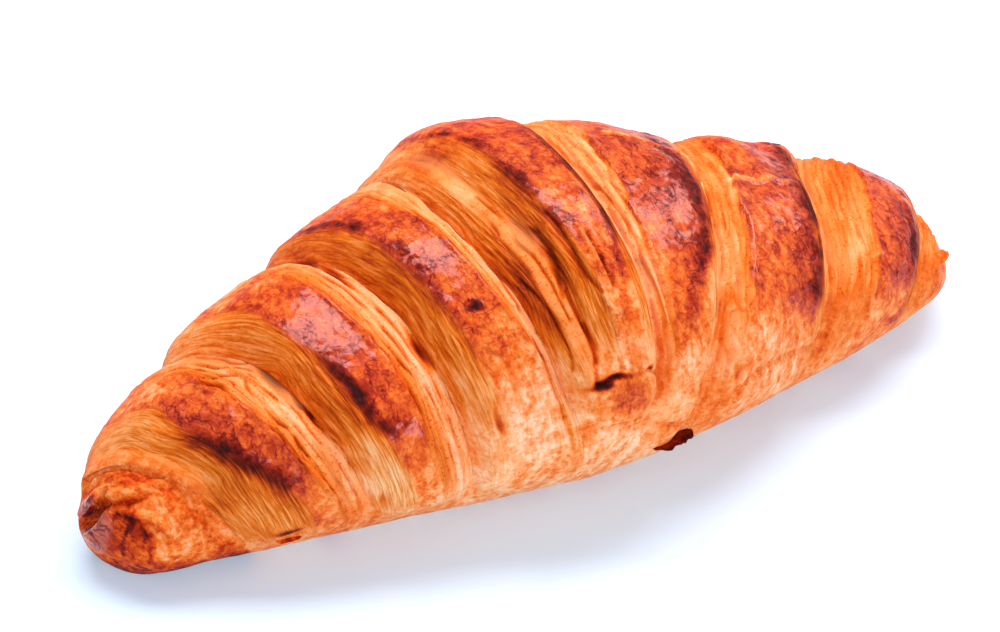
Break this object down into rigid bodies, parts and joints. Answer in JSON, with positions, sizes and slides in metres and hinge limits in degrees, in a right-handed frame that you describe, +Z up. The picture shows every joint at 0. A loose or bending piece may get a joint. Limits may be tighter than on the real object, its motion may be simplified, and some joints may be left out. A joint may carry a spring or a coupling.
{
  "type": "croissant",
  "caption": "Baked croissant of rolled laminated dough with stepped spiral wraps, tapered ends and a flattened underside, for eating.",
  "frame": {"origin": "on the resting surface, under the middle of the croissant", "axes": "+X along the roll, from the curled end nearest in the picture to the far tip; +Y towards the back; +Z up"},
  "size_m": [0.1801, 0.0808, 0.057],
  "materials": {
    "crust": "satin baked pastry crust, egg-washed, glossy and mahogany to burnt on the crests, pale golden in the folds"
  },
  "bodies": {
    "root": {"croissant": "crust"}
  },
  "joints": []
}
